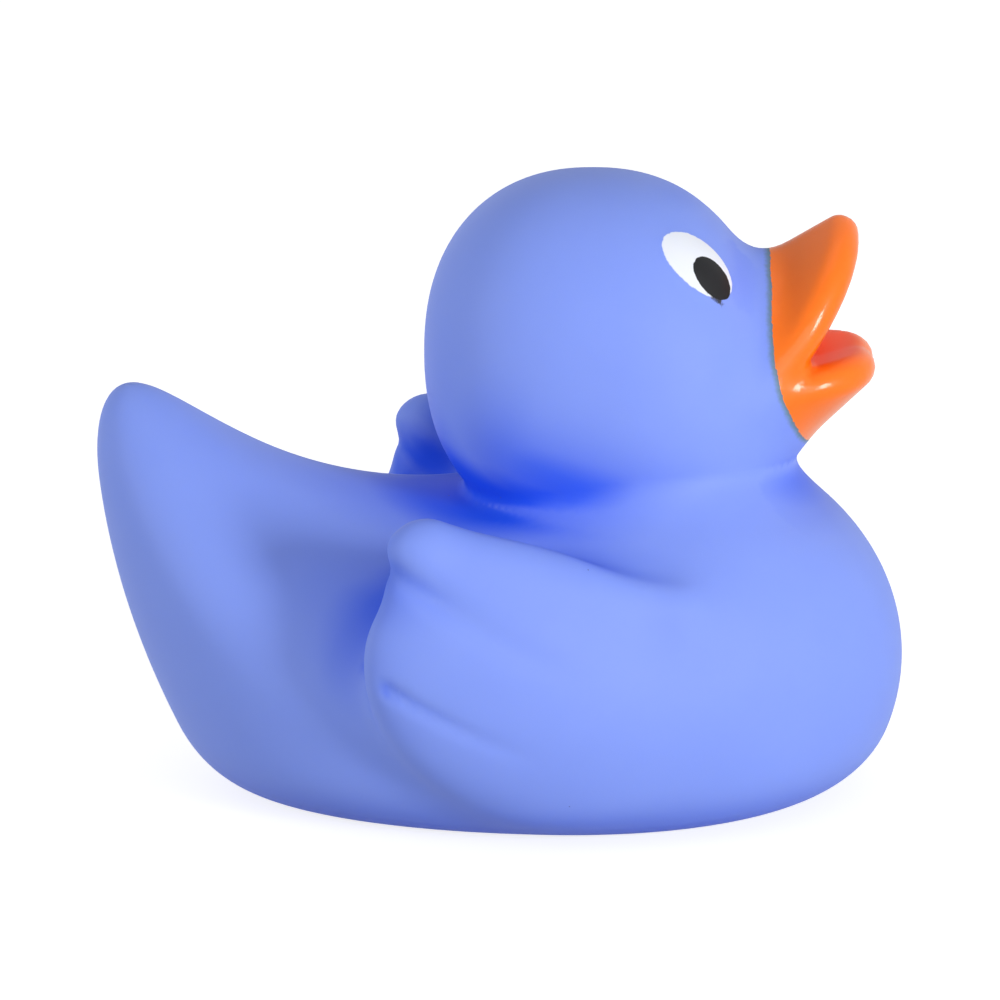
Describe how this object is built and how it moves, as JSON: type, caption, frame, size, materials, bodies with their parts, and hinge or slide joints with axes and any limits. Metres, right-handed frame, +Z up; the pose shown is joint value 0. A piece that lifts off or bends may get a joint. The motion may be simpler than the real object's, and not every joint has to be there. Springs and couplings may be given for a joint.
{
  "type": "rubber duck",
  "caption": "Bath duck cast in soft vinyl as one sealed piece: rounded hull with raised tail, folded wings, round head, open bill and low oval eyes. It floats or stands on a desk.",
  "frame": {"origin": "middle of the object's box, on the flat underside that it stands on", "axes": "+X towards the bill, +Y across the body, +Z up"},
  "size_m": [0.0848, 0.0662, 0.0663],
  "materials": {
    "vinyl": "matte"
  },
  "bodies": {
    "root": {"duck_body": "vinyl"}
  },
  "joints": []
}
